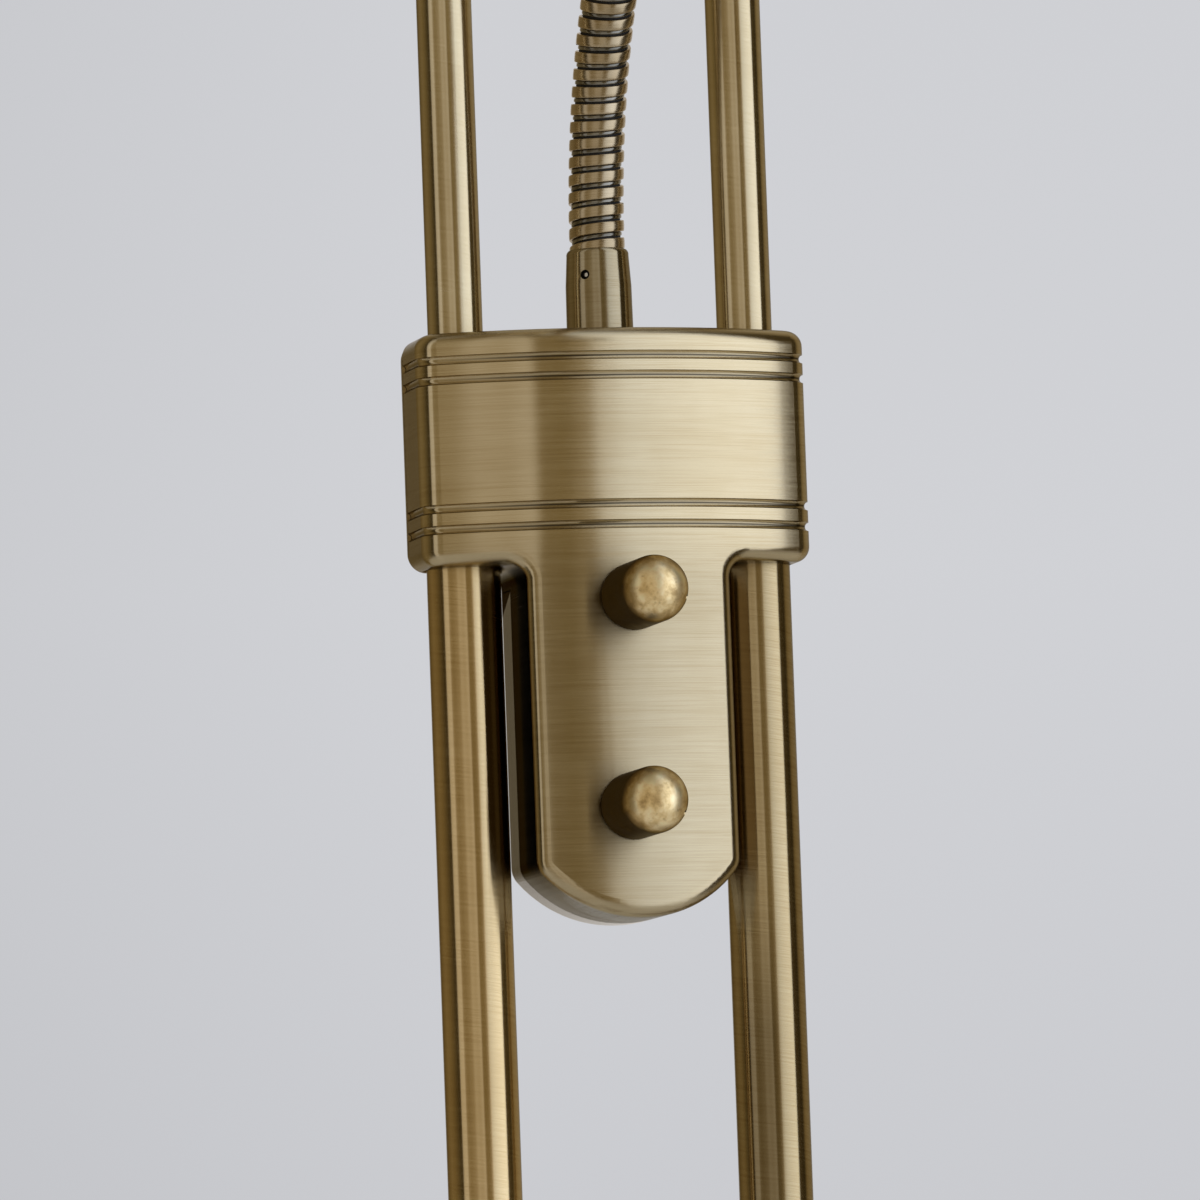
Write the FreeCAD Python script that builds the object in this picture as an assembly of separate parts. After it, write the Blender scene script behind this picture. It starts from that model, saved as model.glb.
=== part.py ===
"""Twin-pole brass floor lamp: a round weighted base, two poles that step down in size inside a
control housing, a flexible reading arm out of the housing's top, and an uplighter bowl on the poles.

Frame: +Z up, the lamp's front towards -Y, origin on the floor at the middle of the base.
Millimetres. Each sub-part is one STEP file in parts/, named after its node.
"""
import FreeCAD, Part
import math
import os

from FreeCAD import Vector as V

# ---------------------------------------------------------------- driving dimensions
FIT = 0.05                    # radial clearance of a pole or stem in its bore
SHEET = 1.4                   # wall of the drawn brass housing covers

# Poles
POLE_X = 32.25                # each pole stands this far from the middle
LOWER_POLE_R, LOWER_POLE_WALL = 8.0, 1.2
UPPER_POLE_R, UPPER_POLE_WALL = 6.0, 1.0

# Control housing: a bowed collar with a tongue below it that carries the two dimmer knobs
COLLAR_BOTTOM, COLLAR_HEIGHT = 1100.0, 50.3
COLLAR_TOP = COLLAR_BOTTOM + COLLAR_HEIGHT
COLLAR_HALF = 43.0            # half the collar's width
FRONT_REACH = 22.2            # from the poles' plane to the middle of the bowed front
FRONT_BOW_R = 86.0            # radius of the bowed front, seen from above
CORNER_R = 6.5                # upright edges between the front and the sides
SEAM_COLLAR, SEAM_TONGUE = 5.0, -1.5        # where the front cover ends, on collar and tongue
SEAM_STEP = COLLAR_BOTTOM - 4.5             # height of the step between the two
SEAM_GAP = 0.25
BACK_Y = 10.75                # flat back of the rear cover
TONGUE_HALF = 22.4
TONGUE_DROP = 77.0            # from the collar's lower edge to the tongue's lowest point
TONGUE_END_R = 28.0           # shallow arc across the tongue's end
TONGUE_CORNER_R = 5.0
TONGUE_ROOT_R = 4.0           # inside corners between collar and tongue
RIM_R = 3.4                   # soft edge all round the front cover
GROOVE_HEIGHTS = (7.6, 12.1, 39.8, 44.1)   # above the collar's lower edge
GROOVE_R, GROOVE_DEPTH = 1.0, 0.75
SCREW_SPOTS = [(-20.0, COLLAR_TOP - 12), (20.0, COLLAR_TOP - 12), (0.0, COLLAR_BOTTOM - 69.4)]

# Dimmers and their knobs
KNOB_SPOTS = {"upper": (-0.3, COLLAR_BOTTOM - 8.2), "lower": (-2.0, COLLAR_BOTTOM - 53.2)}
KNOB_R, KNOB_SIDE = 7.25, 18.6      # radius, and length of the round side up to the dome
KNOB_GAP = 0.5
KNOB_MARK_TURN = {"upper": -18.0, "lower": -27.0}  # of the index notch, from the right
BUSH_R, SHAFT_R = 3.5, 3.0

# Flexible arm
HOSE_R, HOSE_GROOVE_R, HOSE_BORE_R = 6.0, 5.4, 4.2
HOSE_PITCH, HOSE_GAP = 3.8, 1.4     # one turn of the hose, and the groove between turns
LINK_GAP = 2.0                      # wider groove where two links meet, so that they can bend
TURNS_PER_LINK, LINKS = 9, 12
LINK_LENGTH = TURNS_PER_LINK * HOSE_PITCH
FERRULE_HEIGHT, HOSE_IN_FERRULE = 18.85, 6.85
ARM_START_Z = COLLAR_TOP + FERRULE_HEIGHT - HOSE_IN_FERRULE
ARM_STRAIGHT = 8.0
ARM_HEADING = 9.0                           # the arm leans forwards, and this far to the right
ARM_FOOT_R, ARM_FOOT_TURN = 125.0, 28.0     # bend just above the ferrule
ARM_REACH_R, ARM_REACH_TURN = 800.0, 11.5   # almost straight reach, up and forwards
ARM_END_TURN = 150.0                        # the arm's end points down and forwards

# Reading shade
FORK_LENGTH = 26.0
SHADE_R, SHADE_HEIGHT, SHADE_NECK = 52.0, 66.0, 20.0
SPUN_WALL = 1.2

# Base
PAD_T, BASE_R, BASE_RIM_TOP, BASE_TOP = 2.0, 130.0, 13.0, 31.0
INLET_Z, INLET_R = 8.0, 3.6

# Uplighter
CROWN_Z, CROWN_T = 1690.0, 16.0
BOWL_Z, BOWL_R, BOWL_DEPTH, BOWL_FOOT_R = 1722.0, 135.0, 66.0, 26.0
LAMP_Z, LAMP_HALF = 1758.0, 57.0
BRACKET_Z = 1742.0


# ---------------------------------------------------------------- small tools
def rod(r, z0, z1, x=0.0, y=0.0):
    """Upright cylinder."""
    return Part.makeCylinder(r, z1 - z0, V(x, y, z0))


def pipe(r_out, r_in, z0, z1, x=0.0, y=0.0):
    """Upright tube."""
    return rod(r_out, z0, z1, x, y).cut(rod(r_in, z0 - 1, z1 + 1, x, y))


def rod_y(r, y0, y1, x, z):
    """Cylinder along Y."""
    return Part.makeCylinder(r, y1 - y0, V(x, y0, z), V(0, 1, 0))


def rod_x(r, x0, x1, y, z):
    """Cylinder along X."""
    return Part.makeCylinder(r, x1 - x0, V(x0, y, z), V(1, 0, 0))


def block(x0, x1, y0, y1, z0, z1):
    return Part.makeBox(x1 - x0, y1 - y0, z1 - z0, V(x0, y0, z0))


def hexagon(across_flats, z0, z1, x=0.0, y=0.0):
    """Upright hexagonal prism."""
    r = across_flats / math.sqrt(3)
    corners = [V(x + r * math.cos(math.radians(60 * i)), y + r * math.sin(math.radians(60 * i)), z0)
               for i in range(7)]
    return Part.Face(Part.makePolygon(corners)).extrude(V(0, 0, z1 - z0))


def outline(start, *steps):
    """Closed wire in the XZ plane. A step is a point, or a (through, end) pair for an arc."""
    here, edges = V(start[0], 0, start[1]), []
    for step in list(steps) + [start]:
        if isinstance(step[0], tuple):
            through, end = [V(p[0], 0, p[1]) for p in step]
            edges.append(Part.Arc(here, through, end).toShape())
        else:
            end = V(step[0], 0, step[1])
            if here.distanceToPoint(end) < 1e-7:
                continue
            edges.append(Part.LineSegment(here, end).toShape())
        here = end
    return Part.Wire(edges)


def turned(start, *steps, x=0.0, y=0.0):
    """Solid of revolution about the upright axis at (x, y), from an outline of (radius, z)."""
    face = Part.Face(outline(start, *steps))
    solid = face.revolve(V(0, 0, 0), V(0, 0, 1), 360)
    solid.translate(V(x, y, 0))
    return solid


def fused(shapes):
    first, *rest = shapes
    return first.multiFuse(rest) if rest else first


def pair(make):
    """The same piece at the left and the right pole, as one group."""
    return Part.makeCompound([make(-POLE_X), make(POLE_X)])


def sharp_edges(solid, keep):
    """Edges where two faces meet at an angle, and for which keep(middle point) is true."""
    found = []
    for edge in solid.Edges:
        faces = solid.ancestorsOfType(edge, Part.Face)
        if len(faces) != 2 or edge.Length < 1e-4:
            continue
        middle = edge.valueAt((edge.FirstParameter + edge.LastParameter) / 2)
        normals = [f.normalAt(*f.Surface.parameter(middle)) for f in faces]
        if abs(normals[0].dot(normals[1])) < 0.96 and keep(middle):
            found.append(edge)
    return found


# ---------------------------------------------------------------- control housing
def housing_outline(inset):
    """The covers' outline from the front, collar and tongue, drawn in by inset."""
    half, tongue = COLLAR_HALF - inset, TONGUE_HALF - inset
    top, bottom = COLLAR_TOP - inset, COLLAR_BOTTOM + inset
    root, corner, end = TONGUE_ROOT_R + inset, TONGUE_CORNER_R - inset, TONGUE_END_R - inset
    slant = math.sqrt(0.5)
    end_z = COLLAR_BOTTOM - TONGUE_DROP + TONGUE_END_R        # centre of the end arc
    corner_z = end_z - math.sqrt((end - corner) ** 2 - (tongue - corner) ** 2)
    lean = math.atan2(tongue - corner, end_z - corner_z)      # of the corner arc's inner end
    mid = (lean + math.pi / 2) / 2
    tangent = (end * math.sin(lean), end_z - end * math.cos(lean))
    corner_mid = (tongue - corner + corner * math.sin(mid), corner_z - corner * math.cos(mid))
    root_mid = (tongue + root * (1 - slant), bottom - root * (1 - slant))

    def left(p):
        return (-p[0], p[1])

    return outline(
        (-half, top), (half, top), (half, bottom), (tongue + root, bottom),
        (root_mid, (tongue, bottom - root)), (tongue, corner_z), (corner_mid, tangent),
        ((0.0, end_z - end), left(tangent)), (left(corner_mid), (-tongue, corner_z)),
        (-tongue, bottom - root), (left(root_mid), (-tongue - root, bottom)), (-half, bottom))


def bowed_plan(inset, back):
    """Upright prism with the covers' plan: straight sides, rounded corners and a bowed front."""
    half, bow = COLLAR_HALF - inset, FRONT_BOW_R - inset
    centre_y = FRONT_BOW_R - FRONT_REACH
    corner_y = centre_y - math.sqrt(bow ** 2 - half ** 2)
    z0, z1 = COLLAR_BOTTOM - TONGUE_DROP - 5, COLLAR_TOP + 5
    points = [V(half, back, z0), V(-half, back, z0), V(-half, corner_y, z0), V(half, corner_y, z0)]
    arc = Part.Arc(points[2], V(0, centre_y - bow, z0), points[3]).toShape()
    lines = [Part.LineSegment(points[i], points[j]).toShape() for i, j in ((3, 0), (0, 1), (1, 2))]
    prism = Part.Face(Part.Wire([arc] + lines)).extrude(V(0, 0, z1 - z0))
    upright = [e for e in prism.Edges
               if e.Length > z1 - z0 - 1 and e.CenterOfMass.y < corner_y + 1]
    return prism.makeFillet(CORNER_R - inset, upright)


def cover_block(inset, back):
    """Solid of the front cover's outer shape, or with an inset its inside."""
    slab = Part.Face(housing_outline(inset)).extrude(V(0, 60 + back, 0))
    slab.translate(V(0, -60, 0))
    body = slab.common(bowed_plan(inset, back)).removeSplitter()
    edges = sharp_edges(body, lambda p: p.y < back - 1e-3)
    return body.makeFillet(RIM_R - inset, edges)


def groove_cutter(height):
    """Round bar bent along the collar's front and sides, for one engraved line."""
    z = COLLAR_BOTTOM + height
    plan = bowed_plan(0.0, SEAM_COLLAR + 3)
    ring = plan.slice(V(0, 0, 1), z)[0]
    edges = [e for e in ring.Edges if e.CenterOfMass.y < SEAM_COLLAR + 2.9]
    path = Part.Wire(Part.__sortEdges__(edges))
    start = path.OrderedVertexes[0].Point
    outwards = V(math.copysign(GROOVE_R - GROOVE_DEPTH, start.x), 0, 0)
    circle = Part.Wire(Part.makeCircle(GROOVE_R, start + outwards, V(0, 1, 0)))
    return path.makePipeShell([circle], True, True)


def pole_clearance():
    """What the covers leave free for the poles and the arm's stem."""
    cuts = []
    for x in (-POLE_X, POLE_X):
        cuts.append(rod(LOWER_POLE_R + 0.3, COLLAR_BOTTOM - 5, COLLAR_BOTTOM + 20, x))
        cuts.append(rod(UPPER_POLE_R + 0.3, COLLAR_TOP - 20, COLLAR_TOP + 5, x))
    cuts.append(rod(5.3, COLLAR_TOP - 10, COLLAR_TOP + 5))
    return cuts


def front_cover():
    body = cover_block(0.0, SEAM_COLLAR)
    for height in GROOVE_HEIGHTS:
        body = body.cut(groove_cutter(height))
    body = body.cut(cover_block(SHEET, SEAM_COLLAR + 10))
    cuts = [block(-50, 50, SEAM_TONGUE, 20, COLLAR_BOTTOM - TONGUE_DROP - 5, SEAM_STEP)]
    for x in (-POLE_X, POLE_X):
        for r, z in ((LOWER_POLE_R + 0.3, COLLAR_BOTTOM), (UPPER_POLE_R + 0.3, COLLAR_TOP)):
            cuts.append(block(x - r, x + r, 0, SEAM_COLLAR + 1, z - 4, z + 4))
    cuts += [rod_y(BUSH_R + 0.1, -FRONT_REACH - 5, -10, x, z) for x, z in KNOB_SPOTS.values()]
    body = body.cut(fused(pole_clearance() + cuts))
    return body.fuse(cover_pillar()).removeSplitter()


def cover_pillar():
    """Threaded spacer brazed inside the tongue's end, for the lowest cover screw."""
    x, z = SCREW_SPOTS[2]
    pillar = rod_y(3.2, -FRONT_REACH + 0.6, BACK_Y - SHEET - 0.05, x, z)
    return pillar.cut(rod_y(1.5, -2, BACK_Y, x, z))


def rear_block(inset):
    """Solid of the rear cover's outer shape, or with an inset its inside."""
    start, back = SEAM_TONGUE + SEAM_GAP - inset, BACK_Y - inset
    slab = Part.Face(housing_outline(inset)).extrude(V(0, back - start, 0))
    slab.translate(V(0, start, 0))
    corners = [e for e in slab.Edges if abs(e.Length - (back - start)) < 1e-3
               and abs(e.CenterOfMass.x) > COLLAR_HALF - inset - 0.01]
    slab = slab.makeFillet(4.2 - inset, corners)
    return slab.makeFillet(4.5 - inset, sharp_edges(slab, lambda p: abs(p.y - back) < 1e-3))


def rear_cover():
    body = rear_block(0.0).cut(rear_block(SHEET))
    cuts = [rod_y(1.6, 0, BACK_Y + 1, x, z) for x, z in SCREW_SPOTS]
    cuts.append(block(-50, 50, -30, SEAM_COLLAR + SEAM_GAP, SEAM_STEP - SEAM_GAP, COLLAR_TOP + 5))
    return body.cut(fused(pole_clearance() + cuts))


def cover_screws():
    """Pan-head screws through the rear cover into the bridge and the tongue's pillar."""
    back = BACK_Y
    screws = []
    for x, z in SCREW_SPOTS:
        head = rod_y(2.9, back, back + 1.8, x, z)
        head = head.makeFillet(1.0, [e for e in head.Edges if abs(e.CenterOfMass.y - back - 1.8) < 1e-3
                                     and e.Length > 10])
        slot = block(x - 3, x + 3, back + 1.0, back + 3, z - 0.4, z + 0.4)
        shank = rod_y(1.45, back - 9.5, back, x, z)
        screws.append(head.fuse(shank).cut(slot))
    return Part.makeCompound(screws)


def pole_bridge():
    """Casting inside the collar that holds lower poles, upper poles and the arm's stem."""
    z0, z1, r = COLLAR_BOTTOM + 6, COLLAR_BOTTOM + 42, 9.0
    body = fused([rod(r, z0, z1, -POLE_X), rod(r, z0, z1, POLE_X),
                  block(-POLE_X, POLE_X, -r, r, z0, z1)])
    cuts = [rod(5 + FIT, z0 - 1, z1 + 1)]
    for x in (-POLE_X, POLE_X):
        cuts.append(rod(LOWER_POLE_R + FIT, z0 - 1, z0 + 14, x))
        cuts.append(rod(UPPER_POLE_R + FIT, z1 - 18, z1 + 1, x))
        cuts.append(rod(4.0, z0, z1, x))
        cuts.append(rod_y(1.5, -1, 10, x, z1 - 9))
        cuts.append(rod_y(1.5, -1, 10, x, z0 + 7))
    cuts.append(block(-POLE_X, POLE_X, -3.5, 3.5, z0 - 1, z0 + 10))
    cuts += [rod_y(1.5, 1, 10, x, z) for x, z in SCREW_SPOTS[:2]]
    return body.cut(fused(cuts)).removeSplitter()


def bridge_grub_screws():
    z0, z1 = COLLAR_BOTTOM + 6, COLLAR_BOTTOM + 42
    return Part.makeCompound([rod_y(1.45, y, 9.0, x, z)
                              for x in (-POLE_X, POLE_X)
                              for y, z in ((6.1, z1 - 9), (8.06, z0 + 7))])


# ---------------------------------------------------------------- dimmers and knobs
PLATE_BACK = -(FRONT_REACH - SHEET) + 0.9       # flat behind the bowed plate
KNOB_BACK = -FRONT_REACH - KNOB_GAP
DOME_Y = -FRONT_REACH - KNOB_SIDE               # centre of the knob's dome


def dimmer_body(x, z):
    """Rotary dimmer: a square case, its threaded bush and three solder tags."""
    case = block(x - 10, x + 10, PLATE_BACK, PLATE_BACK + 13, z - 9.5, z + 9.5)
    case = case.makeChamfer(1.2, [e for e in case.Edges if abs(e.Length - 13) < 1e-3])
    bush = rod_y(BUSH_R, PLATE_BACK - 4.6, PLATE_BACK, x, z)
    tags = [block(x + dx - 1, x + dx + 1, PLATE_BACK + 9, PLATE_BACK + 9.6, z - 12.5, z - 9.4)
            for dx in (-5, 0, 5)]
    bore = rod_y(SHAFT_R + FIT, PLATE_BACK - 5, PLATE_BACK + 10, x, z)
    return fused([case, bush] + tags).cut(bore).removeSplitter()


def dimmer_nut(x, z):
    """Washer and thin hexagonal nut that hold the dimmer to the plate, inside the knob's skirt."""
    nut = hexagon(9.2, 0, 1.5)
    nut.rotate(V(0, 0, 0), V(1, 0, 0), 90)
    nut.translate(V(x, -FRONT_REACH - 0.6, z))
    washer = rod_y(5.3, -FRONT_REACH - 0.6, -FRONT_REACH - 0.1, x, z)
    return nut.fuse(washer).cut(rod_y(BUSH_R + FIT, -30, -10, x, z))


def dimmer_shaft(x, z):
    shaft = rod_y(SHAFT_R, DOME_Y + 4, PLATE_BACK + 9.5, x, z)
    flat = block(x - 4, x + 4, DOME_Y, -FRONT_REACH - 5, z + 1.5, z + 4)
    return shaft.cut(flat)


def knob(x, z, mark_turn):
    """Bullet-shaped knob with a skirt over the nut, a flatted bore and an index notch."""
    side = rod_y(KNOB_R, DOME_Y, KNOB_BACK, x, z)
    body = side.fuse(Part.makeSphere(KNOB_R, V(x, DOME_Y, z))).removeSplitter()
    rim = [e for e in body.Edges if abs(e.CenterOfMass.y - KNOB_BACK) < 1e-3 and e.Length > 20]
    body = body.makeFillet(0.5, rim)
    skirt = rod_y(5.9, KNOB_BACK - 3.2, KNOB_BACK + 1, x, z)
    bore = rod_y(SHAFT_R + FIT, DOME_Y + 3.8, KNOB_BACK, x, z)
    bore = bore.cut(block(x - 4, x + 4, DOME_Y, -FRONT_REACH - 5.2, z + 1.5 + FIT, z + 4))
    notch = block(x + 5.2, x + 8, DOME_Y - 3.4, DOME_Y - 0.6, z - 0.45, z + 0.45)
    notch.rotate(V(x, 0, z), V(0, -1, 0), mark_turn)
    return body.cut(fused([skirt, bore])).cut(notch)


def dimmer_board():
    """Circuit board behind the two dimmers, with its two triacs and a choke."""
    z0, z1 = COLLAR_BOTTOM - 64, COLLAR_BOTTOM - 4
    y = PLATE_BACK + 14.5
    board = block(-18, 18, y, y + 1.6, z0 + 6, z1)
    triacs = [block(x, x + 9, y + 1.6, y + 5.6, z1 - 52, z1 - 40) for x in (-15, 6)]
    return fused([board, rod_y(6, y + 1.6, y + 8.6, 0, z1 - 29)] + triacs)


def terminal_block():
    """Three-way terminal strip under the bridge, with its six screws."""
    y, z = 1.5, COLLAR_BOTTOM - 14
    spots = [(x, z + 3.4 * s) for x in (-9.5, 0, 9.5) for s in (-1, 1)]
    body = block(-15, 15, y, y + 7.3, z - 7, z + 7)
    body = body.cut(fused([rod_y(2.0, y + 3, y + 8, *p) for p in spots]))
    return Part.makeCompound([body] + [rod_y(1.7, y + 3, y + 5.5, *p) for p in spots])


# ---------------------------------------------------------------- poles
def lower_pole(x, z0, z1):
    r = LOWER_POLE_R
    tube = pipe(r, r - LOWER_POLE_WALL, z0, z1, x)
    return tube.makeChamfer(0.3, [e for e in tube.Edges if e.Length > 2 * math.pi * r - 0.5
                                  and abs(e.CenterOfMass.z - (z0 + z1) / 2) > 1])


def upper_pole(x):
    z0, z1 = COLLAR_BOTTOM + 24.5, CROWN_Z + 12
    return pipe(UPPER_POLE_R, UPPER_POLE_R - UPPER_POLE_WALL, z0, z1, x)


# ---------------------------------------------------------------- base
def base_shape(inset):
    """Solid of the spun base cover, or with an inset its inside."""
    r, t = BASE_R, inset
    return turned(
        (0, PAD_T - t), (r - t, PAD_T - t), (r - t, BASE_RIM_TOP - t),
        ((r - 0.9 - t, BASE_RIM_TOP + 2.1 - t), (r - 3 - t, BASE_RIM_TOP + 3 - t)),
        (r - 9 - t, BASE_RIM_TOP + 3 - t),
        ((r - 11 - t, BASE_RIM_TOP + 3.8 - t), (r - 12 - t, BASE_RIM_TOP + 5.4 - t)),
        ((94 - t, 20.6 - t), (66 - t, 27.0 - t)),
        (61 - t, 27.4 - t), ((58.4 - t, 28.4 - t), (57.6 - t, 30.0 - t)),
        ((56.9 - t, 30.8 - t), (55.6 - t, BASE_TOP - t)), (0, BASE_TOP - t))


def base_cover():
    body = base_shape(0.0).cut(base_shape(SPUN_WALL))
    holes = [rod(5.4, 20, 40, x) for x in (-POLE_X, POLE_X)]
    return body.cut(fused(holes + [rod_y(4.7, 110, 140, 0, INLET_Z)]))


def base_weight():
    """Cast disc with a raised middle, nut wells and a channel for the mains lead."""
    under = BASE_TOP - SPUN_WALL
    disc = turned((0, PAD_T), (122, PAD_T), (124, PAD_T + 2), (124, 13.0), (122, 14.5), (56, 14.5),
                  (50, 20), (50, under), (0, under))
    cuts = [block(-6, 6, 20, 126, PAD_T - 1, 13)]
    for x in (-POLE_X, POLE_X):
        cuts += [rod(5.4, PAD_T - 1, 40, x), rod(12.5, PAD_T - 1, 12, x)]
    cuts.append(block(-POLE_X, POLE_X, -5, 5, PAD_T - 1, 11))
    cuts.append(block(-6, 6, -5, 21, PAD_T - 1, 11))
    return disc.cut(fused(cuts))


def base_pad():
    return rod(126, 0, PAD_T)


def base_socket(x):
    """Turned cup that the pole's foot stands in."""
    z = BASE_TOP
    cup = turned((0, z), (16, z), ((17, z + 1.2), (16, z + 2.4)), (14.2, z + 3.4),
                 ((11.4, z + 6.2), (10.6, z + 11)), (10.6, z + 22), ((12.0, z + 23.4), (10.8, z + 25)),
                 (9.6, z + 26), (0, z + 26), x=x)
    return cup.cut(fused([rod(LOWER_POLE_R + FIT, z + 5.5, z + 30, x), rod(5 + FIT, z - 1, z + 10, x)]))


def base_fixings():
    """Threaded tube, washer and nut that clamp each socket down on the weight."""
    pieces = []
    for x in (-POLE_X, POLE_X):
        pieces.append(pipe(5.0, 3.6, 4.5, BASE_TOP + 5, x))
        pieces.append(hexagon(17, 5.0, 10.2, x).cut(rod(5 + FIT, 0, 20, x)))
        pieces.append(pipe(11.5, 5.2, 10.25, 12.0, x))
    return Part.makeCompound(pieces)


def cord_grommet():
    """Bush in the base's rim, at the back, that the mains lead goes through."""
    body = fused([rod_y(4.6, 126.6, 131.4, 0, INLET_Z), rod_y(5.6, 126.6, 128.4, 0, INLET_Z),
                  rod_y(5.6, 130.1, 131.8, 0, INLET_Z)])
    edges = [e for e in body.Edges if abs(e.CenterOfMass.y - 131.8) < 1e-3]
    body = body.makeFillet(0.8, edges)
    return body.cut(rod_y(INLET_R, 120, 140, 0, INLET_Z))


# ---------------------------------------------------------------- flexible arm
def arm_stretches():
    """The arm's centreline at rest, as (start length, length, bend radius or None)."""
    foot = ARM_FOOT_R * math.radians(ARM_FOOT_TURN)
    reach = ARM_REACH_R * math.radians(ARM_REACH_TURN)
    used = ARM_STRAIGHT + foot + reach
    rest = LINKS * LINK_LENGTH - used
    crook_r = rest / math.radians(ARM_END_TURN - ARM_FOOT_TURN - ARM_REACH_TURN)
    lengths = [(ARM_STRAIGHT, None), (foot, ARM_FOOT_R), (reach, ARM_REACH_R), (rest, crook_r)]
    found, at = [], 0.0
    for length, radius in lengths:
        found.append((at, length, radius))
        at += length
    return found


def arm_at(s):
    """Point on the arm's centreline at length s, and how far it has turned from upright."""
    y, z, turn = 0.0, ARM_START_Z, 0.0
    for start, length, radius in arm_stretches():
        run = min(max(s - start, 0.0), length)
        if radius is None:
            y -= run * math.sin(turn)
            z += run * math.cos(turn)
        else:
            new = turn + run / radius
            y -= radius * (math.cos(turn) - math.cos(new))
            z += radius * (math.sin(new) - math.sin(turn))
            turn = new
    return V(0, y, z), turn


def arm_direction(turn):
    return V(0, -math.sin(turn), math.cos(turn))


def headed(shape):
    """Turns a piece drawn in the plane x = 0 about the upright axis, to the arm's heading."""
    done = shape.copy()
    done.rotate(V(0, 0, 0), V(0, 0, 1), ARM_HEADING)
    return done


def hose_piece(s0, s1, r_out):
    """Bent tubes that together cover the arm's length from s0 to s1."""
    pieces = []
    for start, length, radius in arm_stretches():
        a, b = max(s0, start), min(s1, start + length)
        if b - a < 1e-4:
            continue
        point, turn = arm_at(a)
        ahead = arm_direction(turn)
        discs = [Part.Face(Part.Wire(Part.makeCircle(r, point, ahead)))
                 for r in (r_out, HOSE_BORE_R)]
        face = discs[0].cut(discs[1]).Faces[0]
        if radius is None:
            pieces.append(face.extrude(ahead * (b - a)))
        else:
            centre = point + V(0, -math.cos(turn), -math.sin(turn)) * radius
            pieces.append(face.revolve(centre, V(1, 0, 0), math.degrees((b - a) / radius)))
    return pieces


def hose_link(number):
    """One link of the hose: nine turns joined by their grooves."""
    first = number * TURNS_PER_LINK
    last = first + TURNS_PER_LINK - 1
    pieces = []
    for i in range(first, last + 1):
        start, end = i * HOSE_PITCH, (i + 1) * HOSE_PITCH
        before = LINK_GAP if i == first else HOSE_GAP
        after = LINK_GAP if i == last else HOSE_GAP
        pieces += hose_piece(start + before / 2, end - after / 2, HOSE_R)
        if i < last:
            pieces += hose_piece(end - HOSE_GAP / 2, end + HOSE_GAP / 2, HOSE_GROOVE_R)
    return fused(pieces).removeSplitter()


def arm_nipple():
    return pipe(5.0, 3.2, COLLAR_BOTTOM - 1, ARM_START_Z - 2)


def m10_nuts():
    """The four like nuts on the two threaded stems: bridge, bowl floor, bracket's two faces."""
    heights = (COLLAR_BOTTOM + 2.2, BOWL_Z + SPUN_WALL + 0.02, BRACKET_Z - 3.82, BRACKET_Z + 1.52)
    return Part.makeCompound([hexagon(14, z, z + 3.8).cut(rod(5 + FIT, z - 1, z + 5)) for z in heights])


FERRULE_SCREW_TURN = -38.0      # of the grub screw, from the front towards the left
FERRULE_SCREW_Z = COLLAR_TOP + FERRULE_HEIGHT - 5.8


def ferrule_screw_bar(r, reach_in, reach_out):
    """Cylinder across the ferrule's wall at the grub screw."""
    a = math.radians(FERRULE_SCREW_TURN)
    out = V(math.sin(a), -math.cos(a), 0)
    return Part.makeCylinder(r, reach_out - reach_in, V(0, 0, FERRULE_SCREW_Z) + out * reach_in, out)


def arm_ferrule():
    """Slightly tapered sleeve between the housing and the hose."""
    z0, z1 = COLLAR_TOP + 0.05, COLLAR_TOP + FERRULE_HEIGHT
    body = turned((0, z0), (7.25, z0), (7.15, z0 + 11), (6.75, z1 - 1.2), ((6.62, z1 - 0.4), (6.3, z1)), (0, z1))
    bores = [rod(5 + FIT, z0 - 1, ARM_START_Z), rod(HOSE_R + FIT, ARM_START_Z - 0.1, z1 + 1)]
    return body.cut(fused(bores + [ferrule_screw_bar(1.05, 5.0, 9.0)]))


def ferrule_screw():
    body = ferrule_screw_bar(1.0, HOSE_R + 0.08, 6.6)
    return body.cut(ferrule_screw_bar(0.5, 6.3, 7.0))


# ---------------------------------------------------------------- reading head
ARM_END, ARM_END_ANGLE = arm_at(LINKS * LINK_LENGTH)
KNUCKLE = ARM_END + arm_direction(ARM_END_ANGLE) * FORK_LENGTH


def at_arm_end(shape):
    """Moves a piece drawn upright from the origin to the arm's end, along the arm."""
    done = shape.copy()
    done.rotate(V(0, 0, 0), V(1, 0, 0), math.degrees(ARM_END_ANGLE))
    done.translate(ARM_END)
    return done


def end_ferrule():
    body = turned((0, -8), (7.1, -8), (7.3, 6), ((7.1, 7.4), (6.3, 8.0)), (0, 8.0))
    return at_arm_end(body.cut(fused([rod(HOSE_R + 0.5, -9, 0.1), rod(3.2, -1, 9)])))


def knuckle_fork():
    """Two ears on a round foot."""
    foot = rod(5.8, 8.0, 13.0)
    ears = fused([block(-6.5, 6.5, -5.5, 5.5, 13.0, FORK_LENGTH), rod_x(5.5, -6.5, 6.5, 0, FORK_LENGTH)])
    gap = block(-3.1, 3.1, -9, 9, 16.0, FORK_LENGTH + 9)
    bores = [rod_x(2.5 + FIT, -9, 9, 0, FORK_LENGTH), rod(3.2, 7, 17)]
    return at_arm_end(foot.fuse(ears).cut(fused([gap] + bores)).removeSplitter())


def knuckle_pin():
    """Shouldered screw through the knuckle, with a domed head."""
    y, z = KNUCKLE.y, KNUCKLE.z
    head = rod_x(4.6, -9.3, -6.55, y, z)
    head = head.makeFillet(1.4, [e for e in head.Edges if abs(e.CenterOfMass.x + 9.3) < 1e-3])
    return head.fuse(rod_x(2.5, -6.6, 10.5, y, z))


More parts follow.
